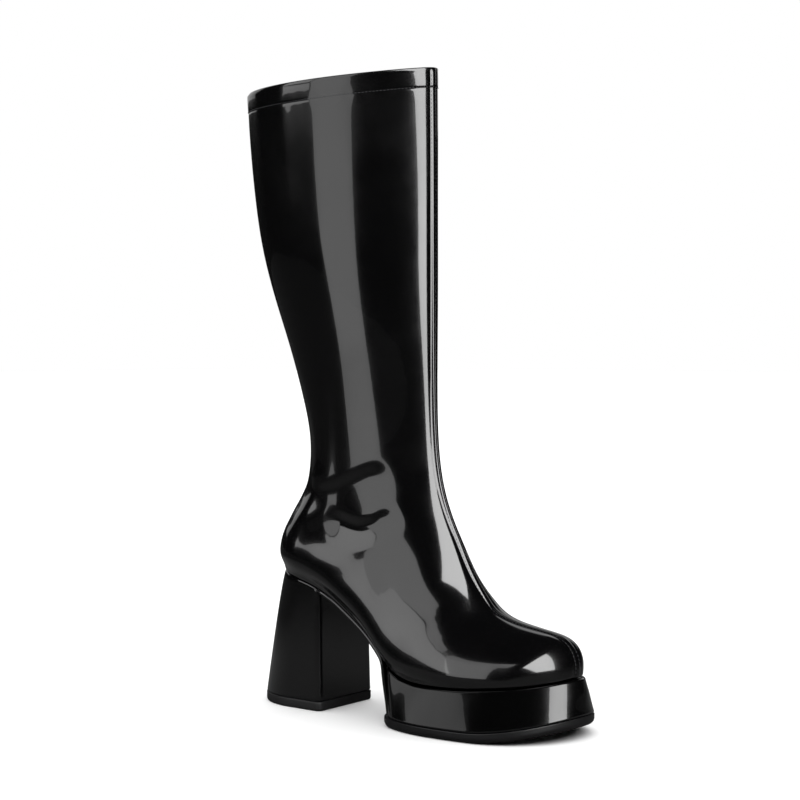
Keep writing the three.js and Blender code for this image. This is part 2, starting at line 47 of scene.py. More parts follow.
# Camera: the photograph's place, in metres and degrees
CAMERA_PLACE = (1.1738, -1.3956, 0.3707)
CAMERA_PITCH = 84.95
CAMERA_TURN = 38.11
CAMERA_LENS = 119.27
CAMERA_SENSOR = 36

# Sizes shared with the solids
FOOT_LENGTH = 232.0
BALL_WIDTH = 87.0
HEEL_HEIGHT = 95.0
BALL_HEIGHT = 31.0
SHAFT_TOP = 435.5
COLLAR_DROP = 17.0
SHAFT_WIDTH = 97.0
WALL = 1.7
HEM_HEIGHT = 13.5
HEM_STEP = 0.7
SEAM_HALF_WIDTH = 1.8
MARGIN_WIDTH = 12.0
INSOLE_THICK = 2.4
WAIST_THICK = 2.8
TREAD_THICK = 6.5
TREAD_GROOVE = 1.6
PLATFORM_LEDGE = 1.6
TOE_FLARE = 5.4
TOE_SPRING = 9.3
HEEL_FLARE = 17.6
HEEL_FACE_WIDTH = 58.0
HEEL_CORNER = 4.0
HEEL_PIECE_THICK = 6.4
GAP = 0.3
BREAST_AT = 0.2005
PLATFORM_BACK_AT = 0.4487
SPRING_FROM_AT = 0.755
ANKLE_LEVEL = 0.42
CORNER_RADIUS = 15.0
CORNER_RADIUS_TOP = 9.0
HEEL_ROUND = (31.0, 36.8)
ANKLE_MELT = 8.0
TOE_REACH = {-1: 54.0, 1: 48.0}
SIDE_BULGE = {-1: 5.0, 1: 3.0}
BULGE_RISE = (15.0, 8.0)
BULGE_FADE = 50.0

BREAST_X = BREAST_AT * FOOT_LENGTH
ORIGIN_X = (BREAST_X - HEEL_FLARE) / 2
BACK_TOP = SHAFT_TOP - COLLAR_DROP
FOREFOOT_BACK = PLATFORM_BACK_AT * FOOT_LENGTH

# Feather edge: along as a share of the foot length, rise from the ball up to the heel
FEATHER = [
    (0, 1), (0.069, 0.952), (0.153, 0.886), (0.204, 0.823), (0.252, 0.744), (0.292, 0.653),
    (0.335, 0.549), (0.382, 0.42), (0.42, 0.289), (0.45, 0.171), (0.483, 0.082), (0.523, 0.025),
    (0.592, 0), (0.686, 0.0125), (0.763, 0.028), (0.84, 0.053), (0.935, 0.087), (1, 0.127),
]
# Front centre line: along, rise from the ball up to the collar
FRONT = [
    (1, 0.0202), (1.0017, 0.038), (0.994, 0.0578), (0.9747, 0.0746), (0.9413, 0.0864),
    (0.8877, 0.0921), (0.8370, 0.0966), (0.7810, 0.104), (0.7336, 0.1168), (0.6970, 0.1404),
    (0.6569, 0.1749), (0.6155, 0.2234), (0.5768, 0.2697), (0.5526, 0.3067), (0.5379, 0.3448),
    (0.5310, 0.3916), (0.5276, 0.4532), (0.5255, 0.5517), (0.5250, 0.687), (0.5245, 0.835),
    (0.5232, 0.9458), (0.5211, 1),
]
# Back centre line: along, rise from the heel's feather edge up to the collar
BACK = [
    (0.0, 0), (0.0025, 0.0306), (0.0055, 0.0581), (0.0141, 0.0887), (0.0395, 0.1254),
    (0.0704, 0.1621), (0.0928, 0.1988), (0.0998, 0.2446), (0.0978, 0.2905), (0.0746, 0.3517),
    (0.0361, 0.4434), (-0.0286, 0.5657), (-0.0779, 0.6881), (-0.1007, 0.8104),
    (-0.1174, 0.9327), (-0.1220, 1),
]
# Half widths of the foot as shares of the ball width: along, outer side, inner side
FOOT = [
    (0, 0.325, 0.325), (0.11, 0.334, 0.331), (0.22, 0.339, 0.316), (0.35, 0.35, 0.278),
    (0.43, 0.37, 0.266), (0.52, 0.422, 0.292), (0.605, 0.48, 0.362), (0.67, 0.518, 0.425),
    (0.735, 0.538, 0.46), (0.82, 0.522, 0.458), (0.87, 0.48, 0.408), (0.935, 0.42, 0.335),
    (1, 0.36, 0.25),
]
# Half widths of heel, ankle and shaft as shares of the shaft width, by rise
SHAFT = [
    (0, 0.294), (0.0306, 0.307), (0.0581, 0.316), (0.0887, 0.323), (0.1254, 0.327),
    (0.1621, 0.328), (0.1988, 0.328), (0.2446, 0.329), (0.2905, 0.334), (0.3517, 0.349),
    (0.4434, 0.377), (0.5657, 0.426), (0.6881, 0.464), (0.8104, 0.481), (0.9327, 0.494),
    (1.1, 0.5),
]
# Swing of the seam line towards the inner side, as a share of the foot length
SWING = [
    (-0.3, 0), (0.22, 0), (0.35, 0.0013), (0.476, 0.0043), (0.647, 0.0135), (0.819, 0.029),
    (1.06, 0.052),
]
# Rounding towards the front and back lines: part of the line, reach, ridge
FRONT_ROUNDING = [
    (0, 29, 0), (0.1, 31, 0.05), (0.18, 36, 0.15), (0.25, 50, 0.35), (0.33, 60, 0.45),
    (0.45, 60, 0.5), (0.6, 62, 0.5), (0.8, 78, 0.5), (1, 83, 0.45),
]
BACK_ROUNDING = [
    (0, 31, 0), (0.12, 33, 0), (0.27, 40, 0.05), (0.5, 52, 0.05), (0.8, 66, 0.05), (1, 68, 0.05),
]
# Half widths of the tread as shares of the ball width: part of its length, outer, inner
TREAD = [
    (0, 0.445, 0.31), (0.1, 0.51, 0.345), (0.2, 0.57, 0.4), (0.3, 0.605, 0.455),
    (0.4, 0.62, 0.487), (0.5, 0.627, 0.498), (1, 0.627, 0.498),
]


def through_points(x, y):
    """Smooth curve through points that never overshoots them."""
    x = np.asarray(x, float)
    y = np.asarray(y, float)
    step = np.diff(x)
    slope = np.diff(y) / step
    tangent = np.empty_like(x)
    tangent[0] = slope[0]
    tangent[-1] = slope[-1]
    a = 2 * step[1:] + step[:-1]
    b = step[1:] + 2 * step[:-1]
    flat = slope[:-1] * slope[1:] <= 0
    low = np.where(flat, 1.0, slope[:-1])
    high = np.where(flat, 1.0, slope[1:])
    tangent[1:-1] = np.where(flat, 0.0, (a + b) / (a / low + b / high))

    def value(at):
        at = np.clip(np.asarray(at, float), x[0], x[-1])
        i = np.clip(np.searchsorted(x, at, side="right") - 1, 0, len(x) - 2)
        h = step[i]
        t = (at - x[i]) / h
        keep = (1 + 2 * t) * (1 - t) ** 2 * y[i] + t * (1 - t) ** 2 * h * tangent[i]
        return keep + t * t * (3 - 2 * t) * y[i + 1] + t * t * (t - 1) * h * tangent[i + 1]

    return value


def column(table, index):
    return through_points([row[0] for row in table], [row[index] for row in table])


def mix(a, b, t):
    return a + (b - a) * t


def smooth(t):
    s = np.clip(t, 0, 1)
    return s * s * (3 - 2 * s)


class ProfileLine:
    """A centre line seen from the side, by share of its length."""

    def __init__(self, table, low, high):
        x = np.array([row[0] for row in table]) * FOOT_LENGTH
        z = low + np.array([row[1] for row in table]) * (high - low)
        length = np.concatenate([[0], np.cumsum(np.hypot(np.diff(x), np.diff(z)))])
        self.total = length[-1]
        self.x_at = through_points(length, x)
        self.z_at = through_points(length, z)
        self.samples = np.stack(self.at(np.linspace(0, 1, 241)), axis=1)

    def at(self, part):
        part = np.asarray(part, float) * self.total
        return self.x_at(part), self.z_at(part)

    def nearest(self, px, pz):
        """Distance from places in the side view to the line, and the part of it that is nearest."""
        shape = np.shape(px)
        p = np.stack([np.ravel(px), np.ravel(pz)], axis=1)
        best = np.full(len(p), np.inf)
        part = np.zeros(len(p))
        count = len(self.samples) - 1
        for i in range(count):
            a = self.samples[i]
            d = self.samples[i + 1] - a
            t = np.clip(((p - a) @ d) / (d @ d), 0, 1)
            gap = np.hypot(*(p - a - t[:, None] * d).T)
            closer = gap < best
            best[closer] = gap[closer]
            part[closer] = (i + t[closer]) / count
        return best.reshape(shape), part.reshape(shape)


feather_rise = column(FEATHER, 1)
swing = column(SWING, 1)
foot_share = {-1: column(FOOT, 1), 1: column(FOOT, 2)}
shaft_share = column(SHAFT, 1)
front_reach = column(FRONT_ROUNDING, 1)
front_ridge = column(FRONT_ROUNDING, 2)
back_reach = column(BACK_ROUNDING, 1)
back_ridge = column(BACK_ROUNDING, 2)
tread_share = {-1: column(TREAD, 1), 1: column(TREAD, 2)}
front_line = ProfileLine(FRONT, BALL_HEIGHT, SHAFT_TOP)
back_line = ProfileLine(BACK, HEEL_HEIGHT, BACK_TOP)
front_level = through_points([0, ANKLE_LEVEL, 1], [0, 0.43, 1])
back_level = through_points([0, ANKLE_LEVEL, 1], [0, 0.27, 1])


def rounded(distance, reach, ridge):
    t = np.clip(distance / reach, 0, 1)
    return mix(np.sqrt(1 - (1 - t) ** 2), np.sin((math.pi / 2) * t), ridge)


def feather_z(x):
    return BALL_HEIGHT + feather_rise(x / FOOT_LENGTH) * (HEEL_HEIGHT - BALL_HEIGHT)


def seam_y(x):
    return swing(x / FOOT_LENGTH) * FOOT_LENGTH


def bulge_share(x, height):
    """The last's side swells above the feather edge, less so towards the toe."""
    rise = mix(*BULGE_RISE, smooth((x / FOOT_LENGTH - 0.3) / 0.4))
    swell = smooth(height / rise) * (1 - smooth((height - rise) / BULGE_FADE))
    return swell * mix(1, 0.4, smooth((x / FOOT_LENGTH - 0.55) / 0.35))


def half_width(x, z, side):
    foot = foot_share[side](x / FOOT_LENGTH) * BALL_WIDTH
    shaft = shaft_share((z - HEEL_HEIGHT) / (BACK_TOP - HEEL_HEIGHT)) * SHAFT_WIDTH
    low = feather_z(x)
    ankle = HEEL_HEIGHT + 0.5 * BALL_WIDTH
    width = mix(foot, shaft, smooth((z - low) / (ankle - low + ANKLE_MELT)))
    width = width + SIDE_BULGE[side] * bulge_share(x, z - low)
    to_front, front_part = front_line.nearest(x, z)
    to_back, back_part = back_line.nearest(x, z)
    fore = rounded(to_front, front_reach(front_part), front_ridge(front_part))
    aft = rounded(to_back, back_reach(back_part), back_ridge(back_part))
    return width * fore * aft


def edge_width(x, side):
    return half_width(x, feather_z(x), side)


def side_point(u, v):
    fx, fz = front_line.at(front_level(v))
    bx, bz = back_line.at(back_level(v))
    x = mix(fx, bx, u)
    lift = mix(fz - feather_z(fx), bz - feather_z(bx), u)
    return x, mix(feather_z(x) + lift, mix(fz, bz, u), smooth(v / ANKLE_LEVEL))


def spline_weights(count, at, closed):
    """Cubic B-spline weights: one row for each place, one column for each control point."""
    if closed:
        i = np.floor(at).astype(int)
    else:
        i = np.clip(np.floor(at).astype(int), 0, count - 2)
    t = at - i
    parts = [(1 - t) ** 3, 3 * t**3 - 6 * t**2 + 4, -3 * t**3 + 3 * t**2 + 3 * t + 1, t**3]
    columns = count if closed else count + 2
    weights = np.zeros((len(at), columns))
    for k, part in enumerate(parts):
        index = (i - 1 + k) % count if closed else i + k
        np.add.at(weights, (np.arange(len(at)), index), part / 6)
    return weights


def length_along(points, axis):
    steps = np.linalg.norm(np.diff(points, axis=axis), axis=-1)
    total = np.cumsum(steps, axis=axis)
    pad = [(0, 0)] * total.ndim
    pad[axis] = (1, 0)
    return np.pad(total, pad)


def unit(vectors):
    return vectors / np.maximum(np.linalg.norm(vectors, axis=-1, keepdims=True), 1e-9)


# The upper's skin as a grid: rows from the feather edge up to the collar, columns round from the
# front line over the outer side to the back and home over the inner side
CONTROL_COLUMNS = 92
CONTROL_ROWS = 104
SIDE_COLUMNS = 116
SEAM_COLUMNS = 11
SEAM_ZONE = 4.4


def control_grid():
    turn = np.arange(CONTROL_COLUMNS) / CONTROL_COLUMNS * 2
    side = np.where(turn < 1, -1, 1)
    reach = np.where(turn < 1, turn, 2 - turn)
    u = (1 - np.cos(np.pi * reach)) / 2
    v = np.linspace(0, 1, CONTROL_ROWS)
    uu, vv = np.meshgrid(u, v)
    x, z = side_point(uu, vv)
    outer = half_width(x, z, -1)
    inner = half_width(x, z, 1)
    width = np.where(side[None, :] < 0, outer, inner)
    width[:, reach == 0] = 0
    width[:, reach == 1] = 0
    grid = np.stack([x, seam_y(x) + side[None, :] * width, z], axis=-1)
    # the shaft's table rows melt into one another up the leg
    calm = smooth((v - 0.3) / 0.14)[:, None, None]
    for _ in range(26):
        middle = 0.25 * grid[:-2] + 0.5 * grid[1:-1] + 0.25 * grid[2:]
        grid[1:-1] = mix(grid[1:-1], middle, calm[1:-1])
    for _ in range(3):
        ring = 0.25 * np.roll(grid, 1, 1) + 0.5 * grid + 0.25 * np.roll(grid, -1, 1)
        grid = mix(grid, ring, calm)
    return grid


def surface(grid, turns, rows):
    padded = np.concatenate([2 * grid[:1] - grid[1:2], grid, 2 * grid[-1:] - grid[-2:-1]])
    up = spline_weights(len(grid), rows * (len(grid) - 1), False)
    round_ = spline_weights(grid.shape[1], turns * grid.shape[1] / 2, True)
    return np.einsum("rk,kjc,nj->rnc", up, padded, round_, optimize=True)


def column_turns(grid):
    """Turns of the columns, close together beside the front seam and even elsewhere."""
    dense = np.linspace(0, 2, 1601)
    row = surface(grid, dense, np.array([0.8]))[0]
    length = length_along(row, 0)
    total = length[-1]
    near = SEAM_ZONE * np.linspace(0, 1, SEAM_COLUMNS)
    back = np.interp(1.0, dense, length)
    outer = np.linspace(SEAM_ZONE, back, SIDE_COLUMNS)[1:]
    inner = np.linspace(back, total - SEAM_ZONE, SIDE_COLUMNS)[1:]
    places = np.concatenate([near, outer, inner, (total - near[::-1])[1:-1]])
    return np.interp(places, length, dense)


def row_places(lengths):
    """Distances up each column: close together at the feather edge and at the hem."""
    low = np.concatenate([np.linspace(0, 4, 11), [4.9, 6.0]])
    top = [0, 0.25, 0.6, 1.2, 2.2, 3.4, 4.6, 5.8, 7.0, 8.2, 9.4, 10.4, 11.2, 11.8, 12.3, 12.7, 13.1]
    top += [13.5, 13.9, 14.3, 14.7, 15.2, 15.9, 16.8, 18.0, 19.4, 21.0]
    share = np.linspace(0, 1, 262)[1:-1]
    middle = low[-1] + share[:, None] * (lengths - top[-1] - low[-1])[None, :]
    below = lengths[None, :] - np.array(top[::-1])[:, None]
    return np.concatenate([np.repeat(low[:, None], len(lengths), 1), middle, below])


def skin_grid():
    control = control_grid()
    turns = column_turns(control)
    dense = surface(control, turns, np.linspace(0, 1, 1700))
    lengths = length_along(dense, 0)
    places = row_places(lengths[-1])
    grid = np.empty((len(places), len(turns), 3))
    for j in range(len(turns)):
        for c in range(3):
            grid[:, j, c] = np.interp(places[:, j], lengths[:, j], dense[:, j, c])
    return grid


def grid_normals(grid):
    around = np.roll(grid, -1, 1) - np.roll(grid, 1, 1)
    up = np.gradient(grid, axis=0)
    return unit(np.cross(up, around))


skin = skin_grid()
skin_out = grid_normals(skin)
height_up = length_along(skin, 0)
below_rim = height_up[-1][None, :] - height_up
round_length = length_along(np.concatenate([skin, skin[:, :1]], axis=1), 1)
from_front = round_length[:, :-1].copy()
half_round = round_length[:, -1:] / 2
seam_side = np.where(from_front > half_round, 1.0, -1.0)
across = np.where(from_front > half_round, round_length[:, -1:] - from_front, from_front)
back_column = int(np.argmin(np.abs(from_front[-1] - half_round[-1])))
from_back = np.abs(round_length[:, :-1] - round_length[:, back_column : back_column + 1])


def bell(t):
    return np.exp(-0.5 * t * t)


def step_down(value, at, width):
    """1 below a value, 0 above it, with a smooth edge."""
    return 1 - smooth((value - at + width / 2) / width)


def ripple(values, period, count, seed):
    """Soft uneven waves round a closed line, between about -1 and 1."""
    source = np.random.default_rng(seed)
    total = 0
    for _ in range(count):
        wave = source.integers(max(2, int(0.6 * period)), int(1.6 * period) + 1)
        height = source.uniform(0.5, 1)
        start = source.uniform(0, 6.28)
        total = total + height * np.sin(2 * np.pi * wave * values + start)
    return total / (0.7 * count)


# Folds at the ankle: side, inmost line as points (x, z) in the side view, depth, and how far the wall
# takes to come out again above and under it, each at the back end and at the front end
FOLDS = [
    (
        -1,
        [(16, 152), (26, 149), (36, 149), (46, 151), (61, 157), (72, 162), (80, 166), (89, 172)],
        1.9,
        (13.0, 11.0),
        (60.0, 26.0),
    ),
    (
        -1,
        [(36, 139), (46, 133), (56, 130), (66, 129), (77, 131), (87, 137), (96, 144)],
        2.0,
        (11.0, 10.0),
        (15.0, 15.0),
    ),
    (
        1,
        [(16, 158), (28, 151), (44, 150), (58, 155), (72, 163), (86, 172)],
        1.7,
        (11.0, 11.0),
        (18.0, 18.0),
    ),
    (
        1,
        [(34, 138), (48, 131), (62, 130), (76, 136), (88, 146)],
        1.5,
        (9.0, 9.0),
        (15.0, 15.0),
    ),
]
# Share of a fold's line over which it fades in at the back and out at the front
FOLD_FADE_BACK = 0.3
FOLD_FADE_FRONT = 0.22

# Heights of the relief on the skin
HEM_LIFT = 0.12
HEM_PUFF = 0.16
HEM_WAVE = 0.12
HEM_PINCH = 0.14
HEM_PUCKER = 0.1
SEAM_GROOVE = 0.5
SEAM_EDGE_LINE = 0.1
SEAM_TROUGH = 0.42
BACK_SEAM_GROOVE = 0.25
FOOT_FULLNESS = 2.0
HEEL_SIDE_FULLNESS = {-1: 2.4, 1: 1.5}
CALF_FULLNESS = 1.4


def to_path(x, z, path):
    """Distance from places in the side view to a path, signed upwards, and the share along it."""
    best = np.full(np.shape(x), np.inf)
    signed = np.zeros(np.shape(x))
    part = np.zeros(np.shape(x))
    for i in range(len(path) - 1):
        ax, az = path[i]
        dx, dz = path[i + 1][0] - ax, path[i + 1][1] - az
        t = np.clip(((x - ax) * dx + (z - az) * dz) / (dx * dx + dz * dz), 0, 1)
        gap = np.hypot(x - ax - t * dx, z - az - t * dz)
        sign = np.sign((z - az) * dx - (x - ax) * dz)
        closer = gap < best
        best = np.where(closer, gap, best)
        signed = np.where(closer, gap * sign, signed)
        part = np.where(closer, (i + t) / (len(path) - 1), part)
    return signed, part


def dense_path(path, count=60):
    """The same path as a smooth line of many points."""
    points = np.array(path, float)
    length = length_along(points, 0)
    at = np.linspace(0, length[-1], count)
    x = through_points(length, points[:, 0])(at)
    z = through_points(length, points[:, 1])(at)
    return list(zip(x, z))


def hem_relief(turn):
    """Folded band at the collar: puffed between its stitch row and the rim, pinched at the row."""
    band = step_down(below_rim, HEM_HEIGHT, 1.2)
    puff = np.sin(np.pi * np.clip(below_rim / HEM_HEIGHT, 0, 1)) ** 0.8
    out = band * (HEM_LIFT + HEM_PUFF * puff)
    out += band * puff * HEM_WAVE * ripple(turn, 11, 5, 3)
    out -= HEM_PINCH * bell((below_rim - HEM_HEIGHT + 0.3) / 0.6)
    return out + HEM_PUCKER * bell((below_rim - HEM_HEIGHT) / 3.5) * ripple(turn, 26, 6, 5)


def seam_relief():
    """Front seam: two turned edges side by side with a groove between and a trough beside them."""
    rib = step_down(across, SEAM_HALF_WIDTH + 0.9, 1.5)
    out = 0.7 * HEM_STEP * rib - SEAM_GROOVE * bell(across / 0.38)
    out -= SEAM_EDGE_LINE * bell((across - SEAM_HALF_WIDTH - 0.55) / 0.4)
    return out - SEAM_TROUGH * smooth((across - 0.8) / 1.6) * (1 - smooth((across - 2.6) / 4.6))


def fullness(x, z):
    """Fuller foot above the feather edge, upright sides of the heel, and fuller calf behind."""
    low = feather_z(skin[:, :, 0])
    waist = 1 - smooth((skin[:, :, 0] / FOOT_LENGTH - 0.5) / 0.25)
    full = smooth((z - low) / 14) * (1 - smooth((z - low - 14) / np.maximum(116 - low, 10)))
    out = FOOT_FULLNESS * waist * full
    sides = smooth((from_back - 26) / 16) * (1 - smooth((x - 38) / 14))
    kept = smooth((z - 114) / 26) * (1 - smooth((z - 160) / 110))
    lift = np.where(seam_side < 0, HEEL_SIDE_FULLNESS[-1], HEEL_SIDE_FULLNESS[1])
    out += lift * sides * kept
    return out + CALF_FULLNESS * smooth((z - 250) / 120) * (1 - smooth((from_back - 45) / 30))


def fold_depth(x, z, side, path, depth, above, under):
    off, part = to_path(x, z, dense_path(path))
    ends = smooth(part / FOLD_FADE_BACK) * smooth((1 - part) / FOLD_FADE_FRONT)
    rise = 1 - smooth(off / mix(*above, part))
    drop = 1 - smooth(-off / mix(*under, part))
    fold = np.where(off > 0, rise, drop)
    return np.where(seam_side == side, depth * ends * fold, 0)


def relief():
    """How far the skin stands out from the last's form."""
    x = skin[:, :, 0] - ORIGIN_X
    z = skin[:, :, 2]
    turn = from_front / round_length[:, -1:]
    out = hem_relief(turn) + seam_relief() + fullness(x, z)
    out -= BACK_SEAM_GROOVE * bell(from_back / 0.7)
    for fold in FOLDS:
        out -= fold_depth(x, z, *fold)
    return out


# Depth and height of the skin's turn-in at the feather edge
TUCK = 2.2


def dressed_skin():
    """Skin with its relief, tucked in at the feather edge."""
    out = relief()
    tuck = np.clip(1 - height_up / TUCK, 0, 1)
    out -= TUCK * (1 - np.sqrt(1 - tuck**2))
    return skin + skin_out * out[:, :, None]


def inset(points, distance):
    middle = FOOT_LENGTH / 2
    x, y = points[:, 0], points[:, 1]
    new_x = middle + (x - middle) * (1 - 2 * distance / FOOT_LENGTH)
    outer = foot_share[-1](x / FOOT_LENGTH) * BALL_WIDTH
    inner = foot_share[1](x / FOOT_LENGTH) * BALL_WIDTH
    local = np.where(y < seam_y(x), outer, inner)
    new_y = seam_y(new_x) + (y - seam_y(x)) * (1 - distance / local)
    return np.stack([new_x, new_y, feather_z(new_x)], axis=1)


def ring_faces(rows, columns):
    i, j = np.meshgrid(np.arange(rows - 1), np.arange(columns), indexing="ij")
    a = i * columns + j
    b = i * columns + (j + 1) % columns
    return np.stack([a, b, b + columns, a + columns], axis=-1).reshape(-1, 4)


def sheet_faces(rows, columns):
    i, j = np.meshgrid(np.arange(rows - 1), np.arange(columns - 1), indexing="ij")
    a = i * columns + j
    return np.stack([a, a + 1, a + 1 + columns, a + columns], axis=-1).reshape(-1, 4)


def make(name, points, faces, material, node=None):
    """A piece of the boot from points in millimetres."""
    points = np.asarray(points, float).reshape(-1, 3).copy()
    points[:, 0] -= ORIGIN_X
    mesh = bpy.data.meshes.new(name)
    mesh.from_pydata((points * MM).tolist(), [], [list(map(int, f)) for f in faces])
    mesh.validate()
    mesh.polygons.foreach_set("use_smooth", [True] * len(mesh.polygons))
    mesh.materials.append(material)
    piece = bpy.data.objects.new(name, mesh)
    bpy.context.scene.collection.objects.link(piece)
    face_out(piece)
    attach(piece, "root")
    if node:
        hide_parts(node)
    return piece


def face_out(piece):
    work = bmesh.new()
    work.from_mesh(piece.data)
    bmesh.ops.recalc_face_normals(work, faces=work.faces)
    work.to_mesh(piece.data)
    work.free()


# Materials


def new_material(name, color, roughness):
    material = bpy.data.materials.new(name)
    material.use_nodes = True
    shader = material.node_tree.nodes["Principled BSDF"]
    shader.inputs["Base Color"].default_value = (*color, 1)
    shader.inputs["Roughness"].default_value = roughness
    return material, material.node_tree, shader


def noise(tree, coords, scale, detail=2.0, roughness=0.5):
    node = tree.nodes.new("ShaderNodeTexNoise")
    node.inputs["Scale"].default_value = scale
    node.inputs["Detail"].default_value = detail
    node.inputs["Roughness"].default_value = roughness
    tree.links.new(coords.outputs["Object"], node.inputs["Vector"])
    return node


def bump(tree, height, strength, distance, under=None):
    """Bump from a texture's output, laid over another bump where one is given."""
    node = tree.nodes.new("ShaderNodeBump")
    node.inputs["Strength"].default_value = strength
    node.inputs["Distance"].default_value = distance
    tree.links.new(height, node.inputs["Height"])
    if under:
        tree.links.new(under, node.inputs["Normal"])
    return node.outputs["Normal"]


def patchy_roughness(tree, shader, source, low, high, start=0.0, end=1.0):
    """Roughness from low to high as a texture's value goes from start to end."""
    spread = tree.nodes.new("ShaderNodeMapRange")
    spread.inputs["From Min"].default_value = start
    spread.inputs["From Max"].default_value = end
    spread.inputs["To Min"].default_value = low
    spread.inputs["To Max"].default_value = high
    tree.links.new(source, spread.inputs["Value"])
    tree.links.new(spread.outputs["Result"], shader.inputs["Roughness"])


def patent(name, peel=0.05):
    """High-gloss coated leather: a deep black under a clear coat, with a faint uneven pull."""
    material, tree, shader = new_material(name, (0.0008, 0.0008, 0.0009), 0.16)
    shader.inputs["IOR"].default_value = 1.5
    shader.inputs["Coat Weight"].default_value = 1.0
    shader.inputs["Coat Roughness"].default_value = 0.025
    shader.inputs["Coat IOR"].default_value = 1.52
    coords = tree.nodes.new("ShaderNodeTexCoord")
    pull = noise(tree, coords, 28, 2.0, 0.45)
    grain = noise(tree, coords, 420, 3.0, 0.55)
    pulled = bump(tree, pull.outputs["Fac"], 0.14, 0.0006)
    normal = bump(tree, grain.outputs["Fac"], peel, 0.0001, pulled)
    tree.links.new(normal, shader.inputs["Normal"])
    tree.links.new(normal, shader.inputs["Coat Normal"])
    # handling marks: the base under the coat is a little duller in patches
    haze = noise(tree, coords, 14, 4.0, 0.6)
    patchy_roughness(tree, shader, haze.outputs["Fac"], 0.12, 0.26, 0.4, 0.75)
    return material


def rubber(name, color, roughness):
    material, tree, shader = new_material(name, color, roughness)
    coords = tree.nodes.new("ShaderNodeTexCoord")
    grain = noise(tree, coords, 900, 4.0, 0.6)
    tree.links.new(bump(tree, grain.outputs["Fac"], 0.25, 0.0001), shader.inputs["Normal"])
    wear = noise(tree, coords, 60, 4.0, 0.6)
    patchy_roughness(tree, shader, wear.outputs["Fac"], roughness - 0.08, roughness + 0.12)
    return material


def cloth(name, color):
    material, tree, shader = new_material(name, color, 0.85)
    shader.inputs["Sheen Weight"].default_value = 0.25
    shader.inputs["Sheen Roughness"].default_value = 0.5
    coords = tree.nodes.new("ShaderNodeTexCoord")
    waves = []
    for direction in ("X", "Z"):
        wave = tree.nodes.new("ShaderNodeTexWave")
        wave.wave_type = "BANDS"
        wave.bands_direction = direction
        wave.inputs["Scale"].default_value = 380
        wave.inputs["Distortion"].default_value = 1.2
        wave.inputs["Detail"].default_value = 2.0
        tree.links.new(coords.outputs["Object"], wave.inputs["Vector"])
        waves.append(wave)
    weave = tree.nodes.new("ShaderNodeMath")
    weave.operation = "MULTIPLY"
    tree.links.new(waves[0].outputs["Fac"], weave.inputs[0])
    tree.links.new(waves[1].outputs["Fac"], weave.inputs[1])
    tree.links.new(bump(tree, weave.outputs["Value"], 0.5, 0.0002), shader.inputs["Normal"])
    blotch = noise(tree, coords, 40, 3.0, 0.6)
    ramp = tree.nodes.new("ShaderNodeMix")
    ramp.data_type = "RGBA"
    ramp.inputs["A"].default_value = (*color, 1)
    ramp.inputs["B"].default_value = (*[1.5 * c for c in color], 1)
    tree.links.new(blotch.outputs["Fac"], ramp.inputs["Factor"])
    tree.links.new(ramp.outputs["Result"], shader.inputs["Base Color"])
    return material


patent_upper = patent("patent_upper")
patent_platform = patent("patent_platform", 0.04)
patent_heel = patent("patent_heel", 0.04)
sole_rubber = rubber("sole_rubber", (0.0025, 0.0025, 0.0028), 0.36)
heel_rubber = rubber("heel_rubber", (0.006, 0.006, 0.0063), 0.48)
lining_cloth = cloth("lining_cloth", (0.022, 0.022, 0.024))
insole_cloth = cloth("insole_cloth", (0.03, 0.03, 0.032))
thread, _, _ = new_material("thread", (0.02, 0.02, 0.022), 0.5)

# Upper: skin, rim, inner band and turned-in margin in one closed sheet
dressed = dressed_skin()
columns = dressed.shape[1]
RIM = 0.5 * (WALL + HEM_STEP)


def rim_rows():
    """From the outside over the rounded rim and down the inner face of the hem."""
    rows = []
    middle = skin[-1] - skin_out[-1] * (WALL / 2 - 0.1)
    up = unit(skin[-1] - skin[-12])
    top = middle - up * RIM
    for turn in np.linspace(0.15, 1, 8) * math.pi:
        rows.append(top + RIM * (skin_out[-1] * math.cos(turn) + up * math.sin(turn)))
    for depth in (2.6, 5, 8, 11, 13.2, 13.9):
        row = np.array([skin_at_depth(j, depth) for j in range(columns)])
        rows.append(row - row_normals(depth) * (WALL + (0.35 if depth < 13.5 else -0.3)))
    return rows


def skin_at_depth(j, depth):
    at = below_rim[::-1, j]
    return [np.interp(depth, at, skin[::-1, j, c]) for c in range(3)]


def row_normals(depth):
    at = below_rim[::-1]
    rows = np.empty((columns, 3))
    for j in range(columns):
        for c in range(3):
            rows[j, c] = np.interp(depth, at[:, j], skin_out[::-1, j, c])
    return unit(rows)


kept_rows = int(np.argmax(below_rim[:, 0] <= RIM))
under = [inset(skin[0], d) for d in (MARGIN_WIDTH, 8.0, 5.0, TUCK + 0.9)]
upper_rows = under + list(dressed[:kept_rows]) + rim_rows()
make(
    "upper_skin",
    np.concatenate(upper_rows),
    ring_faces(len(upper_rows), columns),
    patent_upper,
    "upper",
)


def lining():
    take = list(range(4, len(skin) - 22, 5)) + [len(skin) - 21]
    rows = [dressed[i] - skin_out[i] * (WALL + 0.1) for i in take]
    cols = list(range(0, columns, 2))
    return [row[cols] for row in rows]


lining_rows = lining()
make(
    "upper_lining",
    np.concatenate(lining_rows),
    ring_faces(len(lining_rows), len(lining_rows[0])),
    lining_cloth,
)


# Stitches: pitch, length of the part that shows, radius of the thread, lift of its middle
HEM_STITCH = (2.4, 1.6, 0.26, 0.14)
SEAM_STITCH = (2.6, 1.9, 0.14, 0.04)


